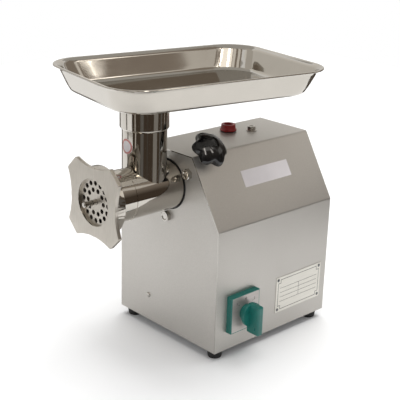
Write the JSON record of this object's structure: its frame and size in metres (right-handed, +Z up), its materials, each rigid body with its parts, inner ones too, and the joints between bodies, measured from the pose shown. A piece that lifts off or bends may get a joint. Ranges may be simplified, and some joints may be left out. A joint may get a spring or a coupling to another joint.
{
  "type": "electric meat grinder",
  "caption": "Bench meat grinder: sheet casing with motor and gearbox, pull-out grinder head with worm, knife and plate, ring nut, lock screw, feed tray and rotary switch.",
  "frame": {"origin": "on the bench, under the middle of the casing", "axes": "+X runs back along the worm axis from the ring nut to the rear panel, -Y is the control face, +Z is up"},
  "size_m": [0.3674, 0.2444, 0.3703],
  "materials": {
    "casing_paint": "fine-textured light grey",
    "zinc_sheet": "plain zinc",
    "black_rubber": "matte",
    "bright_steel": "bright",
    "cast_case": "as cast",
    "shaft_steel": "ground",
    "gear_iron": "machined and oiled",
    "core_iron": "laminated",
    "winding_wire": "varnished copper",
    "black_plastic": "glossy",
    "polished_steel": "mirror polish",
    "satin_steel": "satin",
    "white_plastic": "matte",
    "red_plastic": "dark red",
    "green_plastic": "teal green",
    "plate_aluminium": "brushed",
    "sticker_film": "pale film"
  },
  "bodies": {
    "housing": {"base_plate": "zinc_sheet", "capacitor_clamp": "zinc_sheet", "casing_wrap": "casing_paint", "cord_gland": "black_plastic", "earth_nut": "bright_steel", "earth_screw": "bright_steel", "flange_bolts": "bright_steel", "foot_screws": "bright_steel", "gearbox_cover": "cast_case", "gearbox_cover_screws": "bright_steel", "gearbox_housing": "cast_case", "gland_nut": "black_plastic", "head_end_panel": "casing_paint", "middle_bearings": "shaft_steel", "motor_bearings": "shaft_steel", "motor_front_shield": "cast_case", "motor_rear_shield": "cast_case", "motor_tie_bolts": "bright_steel", "neck_seal": "black_rubber", "oil_seal": "black_rubber", "output_bearings": "shaft_steel", "rating_plate": "plate_aluminium", "rating_plate_rivets": "plate_aluminium", "rear_end_panel": "casing_paint", "rubber_feet": "black_rubber", "slope_sticker": "sticker_film", "start_capacitor": "white_plastic", "stator_core": "core_iron", "stator_windings": "winding_wire", "switch_bezel": "green_plastic", "switch_body": "black_plastic", "switch_face_plate": "plate_aluminium", "terminal_block": "black_plastic", "top_bolt": "bright_steel", "top_washer": "bright_steel"},
    "output_drive": {"output_shaft": "shaft_steel", "output_gear": "gear_iron"},
    "middle_drive": {"middle_shaft": "shaft_steel", "middle_gear": "gear_iron"},
    "motor_rotor": {"motor_shaft": "shaft_steel", "motor_pinion": "gear_iron", "rotor_core": "core_iron", "cooling_fan": "black_plastic"},
    "head": {"grinder_head": "polished_steel", "throat_sticker": "sticker_film"},
    "tray": {"feed_tray": "polished_steel"},
    "worm_drive": {"worm": "satin_steel", "worm_pin": "satin_steel", "knife": "satin_steel", "thrust_washer": "white_plastic"},
    "plate_carriage": {"grinding_plate": "satin_steel"},
    "ring": {"ring_nut": "satin_steel"},
    "lock_screw": {"lock_stud": "shaft_steel"},
    "lock_handle": {"lock_knob": "black_plastic"},
    "plug_carriage": {"filler_seal": "black_rubber"},
    "plug": {"filler_plug": "red_plastic"},
    "switch_handle": {"switch_knob": "green_plastic", "switch_shaft": "shaft_steel"}
  },
  "joints": [
    {"name": "rotor_spin", "type": "hinge", "parent": "housing", "child": "motor_rotor", "pos_m": [-0.05, 0, 0.111], "axis": [1, 0, 0], "continuous": true},
    {"name": "middle_spin", "type": "hinge", "parent": "housing", "child": "middle_drive", "pos_m": [0.03, 0, 0.168], "axis": [1, 0, 0], "continuous": true},
    {"name": "output_spin", "type": "hinge", "parent": "housing", "child": "output_drive", "pos_m": [-0.02, 0, 0.218], "axis": [1, 0, 0], "continuous": true},
    {"name": "head_slide", "type": "slide", "parent": "housing", "child": "head", "axis": [-1, 0, 0], "range_m": [0, 0.04]},
    {"name": "tray_lift", "type": "slide", "parent": "head", "child": "tray", "axis": [0, 0, 1], "range_m": [0, 0.06]},
    {"name": "worm_spin", "type": "hinge", "parent": "head", "child": "worm_drive", "pos_m": [-0.14, 0, 0.218], "axis": [1, 0, 0], "continuous": true},
    {"name": "plate_slide", "type": "slide", "parent": "head", "child": "plate_carriage", "axis": [-1, 0, 0], "range_m": [0, 0.02]},
    {"name": "ring_turn", "type": "hinge", "parent": "plate_carriage", "child": "ring", "pos_m": [-0.217, 0, 0.218], "axis": [-1, 0, 0], "range_deg": [0, 1800]},
    {"name": "lock_slide", "type": "slide", "parent": "housing", "child": "lock_screw", "axis": [0, -0.7071, 0.7071], "range_m": [0, 0.006]},
    {"name": "lock_turn", "type": "hinge", "parent": "lock_screw", "child": "lock_handle", "pos_m": [-0.086, -0.04738, 0.26538], "axis": [0, -0.7071, 0.7071], "range_deg": [0, 1440]},
    {"name": "plug_lift", "type": "slide", "parent": "housing", "child": "plug_carriage", "axis": [0, 0, 1], "range_m": [0, 0.012]},
    {"name": "plug_turn", "type": "hinge", "parent": "plug_carriage", "child": "plug", "pos_m": [0.017, 0.018, 0.264], "axis": [0, 0, 1], "range_deg": [0, 2880]},
    {"name": "switch_turn", "type": "hinge", "parent": "housing", "child": "switch_handle", "pos_m": [-0.061, -0.1027, 0.062], "axis": [0, -1, 0], "range_deg": [-45, 45]}
  ],
  "couplings": [
    {"joint": "middle_spin", "follows": "rotor_spin", "ratio": -0.26667},
    {"joint": "output_spin", "follows": "rotor_spin", "ratio": 0.12549},
    {"joint": "worm_spin", "follows": "rotor_spin", "ratio": 0.12549},
    {"joint": "plate_slide", "follows": "ring_turn", "m_per_rad": 0.00063662},
    {"joint": "lock_turn", "follows": "lock_slide", "rad_per_m": 4188.8},
    {"joint": "plug_turn", "follows": "plug_lift", "rad_per_m": 4188.8}
  ]
}
